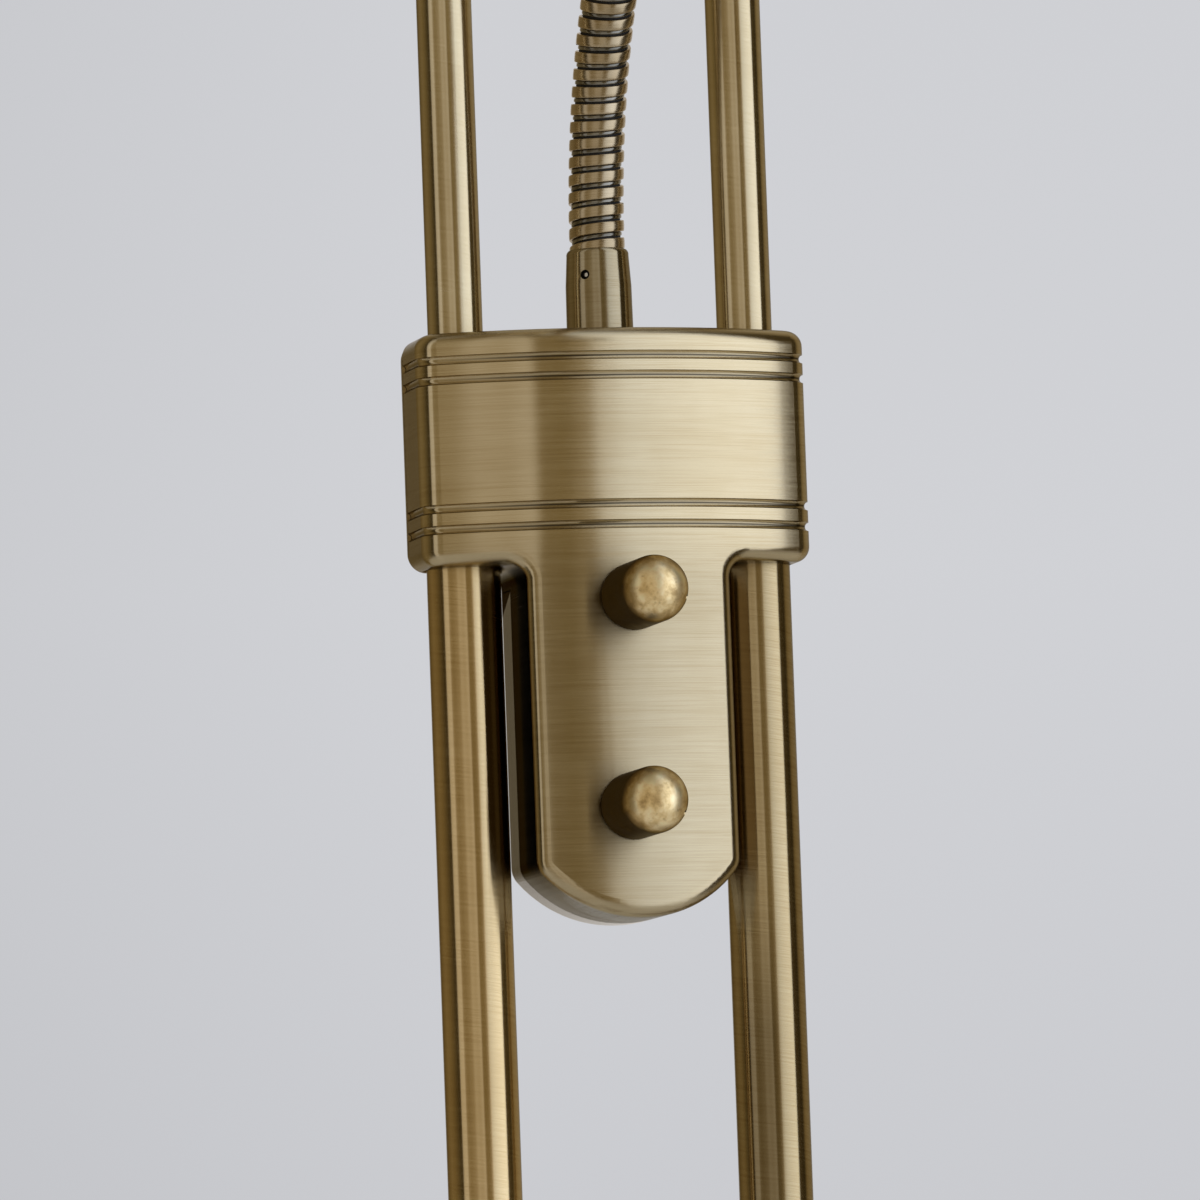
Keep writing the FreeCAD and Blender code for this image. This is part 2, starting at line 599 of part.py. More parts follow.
def knuckle_nut():
    """Thumb nut with flutes that sets how stiffly the shade tilts."""
    y, z = KNUCKLE.y, KNUCKLE.z
    body = rod_x(6.2, 6.6, 12.0, y, z)
    flutes = []
    for i in range(12):
        a = math.radians(30 * i)
        flutes.append(rod_x(0.8, 6, 13, y + 6.5 * math.cos(a), z + 6.5 * math.sin(a)))
    return body.cut(fused(flutes + [rod_x(2.5 + FIT, 6, 10.6, y, z)]))


def shade_eye():
    """Single ear of the knuckle, with the stem that carries the shade."""
    y, z = KNUCKLE.y, KNUCKLE.z
    ear = rod_x(5.5, -2.95, 2.95, y, z)
    stem = block(-2.95, 2.95, y - 4.5, y + 4.5, z - 9, z)
    collar = rod(6.5, z - 13, z - 8.8, 0, y)
    nipple = rod(5.0, z - 31, z - 12.9, 0, y)
    wire_way = rod(2.2, z - 32, z - 9, 0, y)
    body = fused([ear, stem, collar, nipple]).removeSplitter()
    return body.cut(fused([rod_x(2.5 + FIT, -9, 9, y, z), wire_way]))


SHADE_TOP = KNUCKLE.z - SHADE_NECK
SHADE_MOUTH = SHADE_TOP - SHADE_HEIGHT


def shade_solid(inset, drop):
    """The dome's outer shape, or with an inset its inside, closed across the mouth."""
    t, r, top, mouth = inset, SHADE_R, SHADE_TOP, SHADE_MOUTH
    return turned((0, top - t), (13 - t, top - t), ((17.6 - t, top - 1.6 - t), (20 - t, top - 6 - t)),
                  ((36 - t, top - 20 - t), (r - 7 - t, mouth + 24)),
                  ((r - 4.2 - t, mouth + 12), (r - t, mouth + 2 - drop)), (r - t, mouth - drop),
                  (0, mouth - drop), x=0, y=KNUCKLE.y)


def reading_shade():
    y = KNUCKLE.y
    body = shade_solid(0.0, 0.0).cut(shade_solid(SPUN_WALL, 3.0))
    lip = Part.makeTorus(SHADE_R - 0.6, 1.3, V(0, y, SHADE_MOUTH + 1.3))
    body = body.fuse(lip)
    vents = []
    for i in range(8):
        hole = rod(1.6, SHADE_TOP - 30, SHADE_TOP + 5, 15.6, 0)
        hole.rotate(V(0, 0, 0), V(0, 0, 1), 22.5 + 45 * i)
        hole.translate(V(0, y, 0))
        vents.append(hole)
    return body.cut(fused(vents + [rod(5 + FIT, SHADE_TOP - 10, SHADE_TOP + 5, 0, y)]))


def shade_cap():
    """Turned cap that seats on the dome's crown, under the knuckle."""
    y, z = KNUCKLE.y, SHADE_TOP
    cap = turned((0, z), (11.5, z), ((12.2, z + 1.0), (11.0, z + 2.0)), ((8.6, z + 3.4), (7.6, z + 6.9)),
                 (0, z + 6.9), y=y)
    return cap.cut(rod(5 + FIT, z - 1, z + 8, 0, y))


def shade_nut():
    z = SHADE_TOP - SPUN_WALL
    return hexagon(14, z - 3, z - 0.02, 0, KNUCKLE.y).cut(rod(5 + FIT, z - 5, z + 1, 0, KNUCKLE.y))


def capsule_holder():
    """Ceramic holder for a two-loop capsule lamp, with its fixing plate."""
    y, z = KNUCKLE.y, SHADE_TOP - 11.2
    body = rod(9.5, z - 19, z, 0, y)
    body = body.makeFillet(1.2, [body.Edges[0], body.Edges[2]])
    return body.cut(fused([block(-6.2, 6.2, y - 2.2, y + 2.2, z - 20, z - 10.1)]))


def capsule_lamp():
    y, z = KNUCKLE.y, SHADE_TOP - 11.2 - 10.2
    seat = block(-5.6, 5.6, y - 1.8, y + 1.8, z - 9, z)
    glass = turned((0, z - 9), (6.4, z - 9), (6.9, z - 12), (6.9, z - 31),
                   ((5.0, z - 36.2), (0.8, z - 38)), (0, z - 38), y=y)
    return seat.fuse(glass)


def shade_reflector():
    """Spun aluminium cone around the capsule lamp."""
    z = SHADE_TOP - 16

    def cone(t):
        return turned((0, z), (11.2 - t, z), ((25 - t, z - 12), (36.5 - t, z - 34)), (0, z - 34),
                      y=KNUCKLE.y)

    inner = cone(0.8)
    opening = rod(9.9, z - 5, z + 5, 0, KNUCKLE.y)
    return cone(0.0).cut(inner).cut(opening)


# ---------------------------------------------------------------- uplighter
def crown_bridge():
    """Bar across the tops of the poles."""
    z0, z1, r = CROWN_Z, CROWN_Z + CROWN_T, 9.0
    body = fused([rod(r, z0, z1, -POLE_X), rod(r, z0, z1, POLE_X),
                  block(-POLE_X, POLE_X, -r, r, z0, z1)]).removeSplitter()
    rims = sharp_edges(body, lambda p: abs(p.z - z0) < 1e-3 or abs(p.z - z1) < 1e-3)
    body = body.makeFillet(1.6, rims)
    cuts = [rod(5 + FIT, z0 - 1, z1 + 1), rod_x(2.4, -POLE_X, POLE_X, 0, z1 - 6)]
    cuts += [rod(UPPER_POLE_R + FIT, z0 - 1, z0 + 12, x) for x in (-POLE_X, POLE_X)]
    return body.cut(fused(cuts))


def crown_nipple():
    return pipe(5.0, 3.4, CROWN_Z - 6, BRACKET_Z + 6)


def crown_cap_nut():
    """Domed nut under the middle of the crown bar."""
    z = CROWN_Z
    body = turned((0, z), (9.5, z), (9.5, z - 3), ((7.2, z - 9), (2.2, z - 12)),
                  ((1.9, z - 14.2), (0.8, z - 15)), (0, z - 15))
    return body.cut(rod(5 + FIT, z - 8, z + 1))


def bowl_cup():
    """Flared seat between the crown bar and the bowl."""
    z0, z1 = CROWN_Z + CROWN_T, BOWL_Z
    body = turned((0, z0), (10, z0), ((10.8, z0 + 1.5), (10, z0 + 3)), ((13.5, z1 - 4.5), (25, z1 - 1.5)),
                  (25, z1), (0, z1))
    return body.cut(rod(5 + FIT, z0 - 1, z1 + 1))


def bowl_solid(inset):
    t, z = inset, BOWL_Z
    top = z + BOWL_DEPTH
    return turned((0, z + t), (BOWL_FOOT_R, z + t),
                  ((88.0 - 0.45 * t, z + 17.5 + 0.9 * t), (126.0 - 0.75 * t, z + 46 + 0.66 * t)),
                  ((BOWL_R - 1.6 - t, z + 58), (BOWL_R - t, top)), (0, top))


def uplighter_bowl():
    body = bowl_solid(0.0).cut(bowl_solid(SPUN_WALL))
    top = BOWL_Z + BOWL_DEPTH
    rim = Part.makeTorus(BOWL_R - 0.2, 1.9, V(0, 0, top - 0.4))
    body = body.fuse(rim)
    vents = []
    for i in range(10):
        hole = rod(2.2, BOWL_Z - 5, BOWL_Z + 15, 34, 0)
        hole.rotate(V(0, 0, 0), V(0, 0, 1), 36 * i)
        vents.append(hole)
    return body.cut(fused(vents + [rod(5 + FIT, BOWL_Z - 5, BOWL_Z + 5)]))


def lamp_bracket():
    """Bent steel strip that carries the two lampholders and the safety glass."""
    z, half, width, t = BRACKET_Z, 73.0, 8.0, 1.5
    parts = [block(-half, half, -width, width, z, z + t)]
    for side in (-1, 1):
        x0, x1 = sorted((side * half, side * (half - t)))
        parts.append(block(x0, x1, -width, width, z, z + 31))
        x0, x1 = sorted((side * half, side * (half + 6)))
        parts.append(block(x0, x1, -width, width, z + 31 - t, z + 31))
    return fused(parts).removeSplitter().cut(rod(5 + FIT, z - 1, z + 3))


def lampholder(side):
    """Ceramic end holder with a recessed contact."""
    inner, outer = LAMP_HALF - 2.5, 71.4
    x0, x1 = sorted((side * inner, side * outer))
    body = block(x0, x1, -7.5, 7.5, BRACKET_Z + 1.6, LAMP_Z + 9)
    body = body.makeChamfer(1.0, [e for e in body.Edges if abs(e.Length - 15) < 1e-3])
    well = rod_x(4.0, *sorted((side * (inner - 1), side * (LAMP_HALF + 3))), 0, LAMP_Z)
    mouth = block(*sorted((side * (inner - 1), side * (LAMP_HALF + 3))), -4.0, 4.0, LAMP_Z, LAMP_Z + 10)
    return body.cut(well.fuse(mouth))


def linear_lamp():
    """Double-ended tube lamp with ceramic ends."""
    tube = rod_x(5.0, -45, 45, 0, LAMP_Z)
    necks = [rod_x(2.6, *sorted((s * 44, s * 50)), 0, LAMP_Z) for s in (-1, 1)]
    ends = [rod_x(3.6, *sorted((s * 49.5, s * LAMP_HALF)), 0, LAMP_Z) for s in (-1, 1)]
    return fused([tube] + necks + ends)


def safety_glass():
    z = BRACKET_Z + 31.05
    pane = block(-78, 78, -26, 26, z, z + 3)
    return pane.makeFillet(6.0, [e for e in pane.Edges if abs(e.Length - 3) < 1e-3])


def glass_clips():
    """Spring clips that hold the glass down on the bracket's ends."""
    z = BRACKET_Z + 31
    clips = []
    for s in (-1, 1):
        def strip(a, b, z0, z1):
            return block(*sorted((s * a, s * b)), -4, 4, z0, z1)
        clips.append(fused([strip(79.1, 79.9, z - 2.4, z + 3.9), strip(74.5, 79.9, z - 2.4, z - 1.6),
                            strip(74.5, 79.9, z + 3.1, z + 3.9)]).removeSplitter())
    return Part.makeCompound(clips)


# ---------------------------------------------------------------- all the nodes
def standing_parts():
    """Everything on the base, the poles and the housing that doesn't move."""
    foot_z, neck_z = BASE_TOP + 6, COLLAR_BOTTOM + 19.5
    spots = KNOB_SPOTS.values()
    return {
        "base_cover": base_cover(), "base_weight": base_weight(), "base_pad": base_pad(),
        "base_fixings": base_fixings(), "base_sockets": pair(base_socket),
        "cord_grommet": cord_grommet(),
        "lower_pole_left": lower_pole(-POLE_X, foot_z, neck_z),
        "lower_pole_right": lower_pole(POLE_X, foot_z, neck_z),
        "upper_pole_left": upper_pole(-POLE_X), "upper_pole_right": upper_pole(POLE_X),
        "front_cover": front_cover(), "rear_cover": rear_cover(), "cover_screws": cover_screws(),
        "pole_bridge": pole_bridge(), "bridge_grub_screws": bridge_grub_screws(),
        "dimmers": Part.makeCompound([dimmer_body(x, z) for x, z in spots]),
        "dimmer_nuts": Part.makeCompound([dimmer_nut(x, z) for x, z in spots]),
        "dimmer_board": dimmer_board(), "terminal_block": terminal_block(),
        "arm_nipple": arm_nipple(), "m10_nuts": m10_nuts(),
        "arm_ferrule": arm_ferrule(), "ferrule_screw": ferrule_screw(),
        "crown_bridge": crown_bridge(), "crown_nipple": crown_nipple(),
        "crown_cap_nut": crown_cap_nut(), "bowl_cup": bowl_cup(),
        "uplighter_bowl": uplighter_bowl(), "lamp_bracket": lamp_bracket(),
        "lampholders": Part.makeCompound([lampholder(-1), lampholder(1)]),
        "linear_lamp": linear_lamp(), "safety_glass": safety_glass(), "glass_clips": glass_clips(),
    }


def arm_parts():
    """The hose's links and the reading head, drawn in the plane x = 0."""
    parts = {"arm_link_%02d" % (i + 1): hose_link(i) for i in range(LINKS)}
    parts.update({
        "arm_end_ferrule": end_ferrule(), "knuckle_fork": knuckle_fork(),
        "knuckle_pin": knuckle_pin(), "knuckle_nut": knuckle_nut(), "shade_eye": shade_eye(),
        "shade_cap": shade_cap(), "reading_shade": reading_shade(), "shade_nut": shade_nut(),
        "capsule_holder": capsule_holder(), "capsule_lamp": capsule_lamp(),
        "shade_reflector": shade_reflector(),
    })
    return parts


def all_parts():
    """Every node's name and shape."""
    parts = standing_parts()
    for name, (x, z) in KNOB_SPOTS.items():
        parts[name + "_dimmer_shaft"] = dimmer_shaft(x, z)
        parts[name + "_knob"] = knob(x, z, KNOB_MARK_TURN[name])
    for name, shape in arm_parts().items():
        parts[name] = headed(shape)
    return parts


def main():
    os.makedirs("parts", exist_ok=True)
    for name, shape in all_parts().items():
        if not shape.isValid() or not shape.Solids:
            print("BAD SHAPE:", name)
        shape.exportStep("parts/%s.step" % name)
        print("%-20s solids %d  volume %.1f mm3" % (name, len(shape.Solids), shape.Volume))
    print("arm end", headed(Part.Vertex(ARM_END)).Point, "knuckle", headed(Part.Vertex(KNUCKLE)).Point)


if __name__ == "__main__":
    main()
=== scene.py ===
"""Visual model of the twin-pole brass floor lamp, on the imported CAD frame. Metres, +Z up, front -Y."""
import math

import bpy
import numpy as np
from mathutils import Matrix, Vector


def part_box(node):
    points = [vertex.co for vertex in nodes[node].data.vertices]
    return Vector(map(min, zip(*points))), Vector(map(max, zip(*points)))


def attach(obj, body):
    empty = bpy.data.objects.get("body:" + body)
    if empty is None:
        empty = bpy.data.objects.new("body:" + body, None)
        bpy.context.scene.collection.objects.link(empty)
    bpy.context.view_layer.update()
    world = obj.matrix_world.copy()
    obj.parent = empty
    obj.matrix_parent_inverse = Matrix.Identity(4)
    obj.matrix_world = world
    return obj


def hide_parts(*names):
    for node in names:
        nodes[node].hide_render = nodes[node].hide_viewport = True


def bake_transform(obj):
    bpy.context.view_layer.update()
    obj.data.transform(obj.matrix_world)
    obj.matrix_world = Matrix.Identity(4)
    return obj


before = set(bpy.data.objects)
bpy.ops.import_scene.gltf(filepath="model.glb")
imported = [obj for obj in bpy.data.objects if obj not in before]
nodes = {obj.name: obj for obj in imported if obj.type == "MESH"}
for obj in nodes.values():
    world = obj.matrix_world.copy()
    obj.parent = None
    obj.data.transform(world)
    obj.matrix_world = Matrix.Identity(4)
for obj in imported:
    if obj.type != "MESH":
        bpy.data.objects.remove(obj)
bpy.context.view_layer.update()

scene = bpy.context.scene

# ---------------------------------------------------------------- camera
YAW, PITCH, ROLL = (math.radians(a) for a in (13.94, 4.93, -2.06))
DISTANCE = 2.5067
AIM = Vector((-0.00218, 0.0, 1.09316))
SENSOR_MM, LENS_MM = 36.0, 347.95

ahead = Vector((math.sin(YAW) * math.cos(PITCH), math.cos(YAW) * math.cos(PITCH), math.sin(PITCH)))
level = Vector((math.cos(YAW), -math.sin(YAW), 0.0))
upright = level.cross(ahead)
across = level * math.cos(ROLL) + upright * math.sin(ROLL)
upwards = -level * math.sin(ROLL) + upright * math.cos(ROLL)

camera_data = bpy.data.cameras.new("camera")
camera_data.sensor_width = SENSOR_MM
camera_data.lens = LENS_MM
camera_data.clip_start, camera_data.clip_end = 0.05, 100.0
camera = bpy.data.objects.new("camera", camera_data)
scene.collection.objects.link(camera)
turn = Matrix((across, upwards, -ahead)).transposed().to_4x4()
camera.matrix_world = Matrix.Translation(AIM - ahead * DISTANCE) @ turn
scene.camera = camera


# ---------------------------------------------------------------- node helpers
class Graph:
    """Short-hand for building a shader tree."""

    def __init__(self, tree):
        self.nodes, self.links = tree.nodes, tree.links
        self.nodes.clear()

    def put(self, socket, value):
        if isinstance(value, bpy.types.NodeSocket):
            self.links.new(value, socket)
        elif value is not None:
            socket.default_value = value

    def node(self, kind, settings=None, **inputs):
        made = self.nodes.new(kind)
        for key, value in (settings or {}).items():
            setattr(made, key, value)
        for key, value in inputs.items():
            self.put(made.inputs[key.replace("_", " ")], value)
        return made

    def place(self):
        """Position on the object, in metres."""
        return self.node("ShaderNodeTexCoord").outputs["Object"]

    def math(self, operation, a, b=None, c=None):
        made = self.nodes.new("ShaderNodeMath")
        made.operation = operation
        for socket, value in zip(made.inputs, (a, b, c)):
            self.put(socket, value)
        return made.outputs[0]

    def times(self, first, *others):
        product = first
        for factor in others:
            product = self.math("MULTIPLY", product, factor)
        return product

    def vmath(self, operation, a, b=None):
        made = self.nodes.new("ShaderNodeVectorMath")
        made.operation = operation
        self.put(made.inputs[0], a)
        self.put(made.inputs[1], b)
        return made.outputs["Value"] if operation in ("DOT_PRODUCT", "LENGTH") else made.outputs[0]

    def split(self, vector):
        made = self.node("ShaderNodeSeparateXYZ", Vector=vector)
        return made.outputs[0], made.outputs[1], made.outputs[2]

    def join(self, x, y, z):
        made = self.nodes.new("ShaderNodeCombineXYZ")
        for socket, value in zip(made.inputs, (x, y, z)):
            self.put(socket, value)
        return made.outputs[0]

    def noise(self, vector, scale, detail=3.0, roughness=0.5):
        made = self.node("ShaderNodeTexNoise", Vector=vector, Scale=scale, Detail=detail,
                         Roughness=roughness)
        return made.outputs[0]

    def ramp(self, value, stops):
        made = self.nodes.new("ShaderNodeValToRGB")
        elements = made.color_ramp.elements
        while len(elements) < len(stops):
            elements.new(0.5)
        for element, (position, colour) in zip(elements, stops):
            element.position = position
            element.color = (*colour, 1.0) if isinstance(colour, tuple) else (colour,) * 3 + (1.0,)
        self.put(made.inputs[0], value)
        return made.outputs[0]

    def between(self, value, low, high, to_low, to_high):
        """Goes from to_low to to_high as value goes from low to high, and stays there outside."""
        made = self.node("ShaderNodeMapRange", Value=value)
        limits = {"From Min": low, "From Max": high, "To Min": to_low, "To Max": to_high}
        for name, number in limits.items():
            made.inputs[name].default_value = number
        return made.outputs[0]

    def mix(self, factor, a, b, blend="MIX"):
        made = self.nodes.new("ShaderNodeMix")
        made.data_type, made.blend_type = "RGBA", blend
        self.put(made.inputs[0], factor)
        self.put(made.inputs[6], (*a, 1.0) if isinstance(a, tuple) else a)
        self.put(made.inputs[7], (*b, 1.0) if isinstance(b, tuple) else b)
        return made.outputs[2]

    def mottled(self, cloud, low, high):
        """Colour that goes from low to high with a noise."""
        return self.mix(self.between(cloud, 0.35, 0.68, 0.0, 1.0), low, high)

    def varied(self, cloud, low, high):
        """Number that goes from low to high with a noise."""
        return self.between(cloud, 0.3, 0.7, low, high)

    def bump(self, height, strength, distance, under=None):
        """Normal of a surface with this height on it. Under is the normal of what it lies on."""
        made = self.node("ShaderNodeBump", Height=height, Strength=strength, Distance=distance,
                         Normal=under)
        return made.outputs[0]

    def shader(self, colour, roughness, normal=None, **fixed):
        """Principled surface. Sockets that are the same all over are set, not linked."""
        principled = self.nodes.new("ShaderNodeBsdfPrincipled")
        self.put(principled.inputs["Base Color"],
                 (*colour, 1.0) if isinstance(colour, tuple) else colour)
        self.put(principled.inputs["Roughness"], roughness)
        self.put(principled.inputs["Normal"], normal)
        for key, value in fixed.items():
            self.put(principled.inputs[key.replace("_", " ")], value)
        out = self.nodes.new("ShaderNodeOutputMaterial")
        self.links.new(principled.outputs[0], out.inputs[0])
        return principled

    def brush_along(self, surface, **settings):
        """Turns the stretched highlights of a brushed surface a quarter round from the tangent."""
        tangent = self.node("ShaderNodeTangent", settings)
        self.links.new(tangent.outputs[0], surface.inputs["Tangent"])
        surface.inputs["Anisotropic Rotation"].default_value = 0.25


def new_material(name):
    material = bpy.data.materials.new(name)
    material.use_nodes = True
    return material, Graph(material.node_tree)


# ---------------------------------------------------------------- brushed brass
BRASS_LIGHT = (0.66, 0.555, 0.35)
BRASS_MID = (0.58, 0.475, 0.285)
BRASS_DARK = (0.42, 0.31, 0.15)
PLAIN = (1.0, 1.0, 1.0)

TUBE_RADIUS = 0.007         # turns an angle round a tube into metres along its brushing
SPUN_RADIUS = 0.03          # the same for spun shells
GRAIN_HEIGHT = 0.00012

# The control housing: heights of the collar's engraved lines and of the top of the tongue
COLLAR_HEIGHT = 0.0503
COLLAR_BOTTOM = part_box("front_cover")[1].z - COLLAR_HEIGHT
GROOVES = [COLLAR_BOTTOM + height for height in (0.0076, 0.0121, 0.0398, 0.0441)]
TONGUE_TOP = 1.0990
FLATNESS = math.tan(math.radians(4.6))
WIDE_PATINA, THIN_PATINA = (0.12, 0.088, 0.045), (0.03, 0.024, 0.016)
# The tongue's side walls: dark patina with painted shade, the left wall darker than the right. Where
# they face down they are pale, a painted reflection of the floor.
LEFT_WALL_PATINA_AND_SHADE, RIGHT_WALL_PATINA_AND_SHADE, BOTTOM_WALL_REFLECTION = (0.060, 0.043, 0.018), (0.15, 0.10, 0.045), (0.62, 0.61, 0.57)
REAR_WALL_ROUGHNESS = 0.12
FRONT_EDGE = 0.0050                 # the front cover's grooves lie in front of this y
# Painted shade on the left front of a pole, below the tongue: its colour, strength and fade
TUBE_SHADE_COLOUR, TUBE_SHADE_STRENGTH, TUBE_SHADE_FADE = (0.02, 0.014, 0.006), 0.42, 0.03


def grain(g, kind, at_x, slant):
    """Coordinates along, beside and across the brushing, and the angle round the axis at at_x.

    The brushing is level, or goes round a tube in rings that climb by slant, or round a spun shell.
    """
    x, y, z = g.split(g.place())
    if kind == "level":
        return (x, y, z), None
    from_axis = g.math("SUBTRACT", x, at_x)
    angle = g.math("ARCTAN2", from_axis, g.times(y, -1.0))
    if kind == "tube":
        return (g.times(angle, TUBE_RADIUS), 0.0, g.math("ADD", z, g.times(angle, slant))), angle
    return (g.times(angle, SPUN_RADIUS), g.vmath("LENGTH", g.join(from_axis, y, 0.0)), z), angle


def painted_tube_shade(g, colour, angle, top):
    """Painted shade on the left front of a tube, below the height top. Angle 0 is its front."""
    height = g.split(g.place())[2]
    part = g.times(g.between(angle, -1.2, -1.0, 0.0, 1.0), g.between(angle, -0.14, 0.06, 1.0, 0.0),
                   g.between(height, top - TUBE_SHADE_FADE, top, 1.0, 0.0))
    return g.mix(g.times(part, TUBE_SHADE_STRENGTH), colour, TUBE_SHADE_COLOUR)


def with_patina_and_shade(g, colour, x, y, z):
    """Painted shade that makes the tongue darker, and dark metal in the engraved lines that fades
    towards the left.
    """
    # Painted shade: the tongue below the collar is darkened to 0.83 of the brass
    colour = g.mix(1.0, colour, g.ramp(g.between(z, TONGUE_TOP - 0.004, TONGUE_TOP + 0.010, 0.0, 1.0),
                                       [(0.0, 0.83), (1.0, 1.0)]), "MULTIPLY")
    near = None
    for height in GROOVES:
        gap = g.math("ABSOLUTE", g.math("SUBTRACT", z, height))
        near = gap if near is None else g.math("MINIMUM", near, gap)
    strength = g.times(g.between(x, -0.040, -0.022, 0.15, 1.0),
                       g.between(y, FRONT_EDGE, FRONT_EDGE + 0.0002, 1.0, 0.0))
    wide = g.times(g.between(near, 0.00045, 0.00090, 0.30, 0.0), strength)
    thin = g.times(g.between(near, 0.00008, 0.00030, 0.85, 0.0), strength)
    return g.mix(thin, g.mix(wide, colour, WIDE_PATINA), THIN_PATINA)


def tongue_wall(g, x, y, z):
    """Share of the surface that is the tongue's side wall, its colour, and its lacquered rear part. The
    colour is dark patina with painted shade, and a pale painted reflection of the floor where the wall
    faces down.
    """
    facing = g.split(g.node("ShaderNodeNewGeometry").outputs["True Normal"])
    side = g.times(g.between(g.math("ABSOLUTE", facing[1]), 0.15, 0.35, 1.0, 0.0),
                   g.between(z, TONGUE_TOP, TONGUE_TOP + 0.0006, 1.0, 0.0))
    # Dark patina with painted shade, darker on the left wall
    colour = g.mix(g.between(x, -0.001, 0.001, 0.0, 1.0), LEFT_WALL_PATINA_AND_SHADE, RIGHT_WALL_PATINA_AND_SHADE)
    # Where the wall faces down it takes a pale painted reflection of the floor
    colour = g.mix(g.between(g.math("ABSOLUTE", facing[0]), 0.55, 0.95, 1.0, 0.0), colour, BOTTOM_WALL_REFLECTION)
    slanted = g.math("ADD", z, g.times(y, 0.6))
    rear = g.times(g.between(y, -0.0016, -0.0013, 0.0, 1.0),
                   g.between(slanted, TONGUE_TOP - 0.0050, TONGUE_TOP - 0.0046, 1.0, 0.0), side)
    return side, colour, rear


def eased(g, x, start, end):
    """Height of a surface whose slope grows smoothly from 0 before start to 1 after end."""
    rise = g.between(x, start, end, 0.0, 1.0)
    cube = g.math("POWER", rise, 3.0)
    bend = g.math("SUBTRACT", cube, g.times(cube, rise, 0.5))
    past = g.math("MAXIMUM", g.math("SUBTRACT", x, end), 0.0)
    return g.math("MULTIPLY_ADD", bend, end - start, past)


def flattened(g, x):
    """Normal of the front cover, a little flatter in its middle than its curve."""
    fall = g.math("SUBTRACT", eased(g, x, -0.034, -0.010), g.times(eased(g, x, 0.020, 0.036), 0.9))
    return g.bump(g.times(fall, -FLATNESS), 1.0, 1.0)


def brass(name, kind="level", at_x=0.0, slant=0.0, length=55.0, width=7000.0, rough=0.20,
          relief=0.10, tone=1.0, golden=PLAIN, coat=0.2, patina=0.30, shade_top=None, housing=False):
    """Antiqued brushed brass under clear lacquer.

    Length and width set how short and how thin the brushed streaks are.
    """
    material, g = new_material(name)
    (along, beside, across_it), angle = grain(g, kind, at_x, slant)
    lines = g.join(g.times(along, length), g.times(beside, width if kind == "spun" else length),
                   g.times(across_it, width))
    fine = g.noise(lines, 1.0, 2.0, 0.6)
    coarse = g.noise(g.vmath("MULTIPLY", lines, (0.6, 0.6, 0.25)), 1.0, 2.0, 0.5)
    streak = g.math("ADD", g.times(fine, 0.65), g.times(coarse, 0.35))
    blotch = g.noise(g.place(), 38.0, 3.0, 0.6)

    darkest, middle, lightest = (tuple(v * tone * gold for v, gold in zip(shade, golden))
                                 for shade in (BRASS_DARK, BRASS_MID, BRASS_LIGHT))
    base = g.mix(g.between(blotch, 0.35, 0.7, 0.0, 1.0), middle, lightest)
    colour = g.mix(g.times(g.between(streak, 0.56, 0.36, 0.0, 1.0), patina), base, darkest)
    roughness = g.math("ADD", g.varied(streak, -0.05, 0.05),
                       g.varied(blotch, rough - 0.02, rough + 0.03))
    under = None
    # Painted shade on the tube's left front
    if shade_top:
        colour = painted_tube_shade(g, colour, angle, shade_top)
    if housing:
        x, y, z = g.split(g.place())
        side, wall, rear = tongue_wall(g, x, y, z)
        # The tongue's side walls take their colour of patina, painted shade and painted reflection
        colour = g.mix(side, with_patina_and_shade(g, colour, x, y, z), wall)
        roughness = g.math("SUBTRACT", roughness, g.times(rear, rough - REAR_WALL_ROUGHNESS))
        coat = g.math("ADD", g.math("SUBTRACT", coat, g.times(side, coat)), rear)
        under = flattened(g, x)
    surface = g.shader(colour, roughness, g.bump(streak, relief, GRAIN_HEIGHT, under), Metallic=1.0,
                       Anisotropic=1.0, Coat_Weight=coat, Coat_Roughness=0.06, Coat_IOR=1.5,
                       Specular_Tint=(0.33, 0.31, 0.27, 1.0))
    g.brush_along(surface, direction_type="RADIAL", axis="Z")
    return material


# ---------------------------------------------------------------- other materials
KNOB_SHADES = [(0.34, (0.529, 0.368, 0.161)), (0.48, (0.874, 0.667, 0.3335)),
               (0.60, (1.035, 0.8625, 0.5175))]
KNOB_ROUGHNESS = 0.36
FINE_RELIEF = 0.0001
SHINE_EDGE = (0.00036, 0.00052)     # where the set screw's bright middle ends


def turned_brass(name):
    """Antique brass with a mottled patina, and painted shade where it doesn't face the front. For the
    knobs.
    """
    material, g = new_material(name)
    place = g.place()
    cloud = g.noise(place, 230.0, 5.0, 0.62)
    fleck = g.noise(place, 900.0, 3.0, 0.6)
    colour = g.mix(g.between(fleck, 0.62, 0.72, 0.0, 0.35), g.ramp(cloud, KNOB_SHADES),
                   (0.34, 0.22, 0.09))
    front = g.times(g.split(g.node("ShaderNodeNewGeometry").outputs["Normal"])[1], -1.0)
    facing_front = g.math("ADD", front, g.varied(cloud, -0.12, 0.12))
    # Painted shade: the dome's rim darkens, and the sides, which don't face the front, go nearly black
    colour = g.mix(g.between(facing_front, 0.30, 0.72, 0.80, 0.0), colour, (0.34, 0.22, 0.085))
    colour = g.mix(g.between(facing_front, 0.06, 0.40, 0.97, 0.0), colour, (0.125, 0.103, 0.072))
    roughness = g.varied(cloud, KNOB_ROUGHNESS + 0.10, KNOB_ROUGHNESS - 0.03)
    g.shader(colour, roughness, g.bump(fleck, 0.12, FINE_RELIEF), Metallic=1.0,
             Specular_Tint=(0.36, 0.32, 0.24, 1.0))
    return material


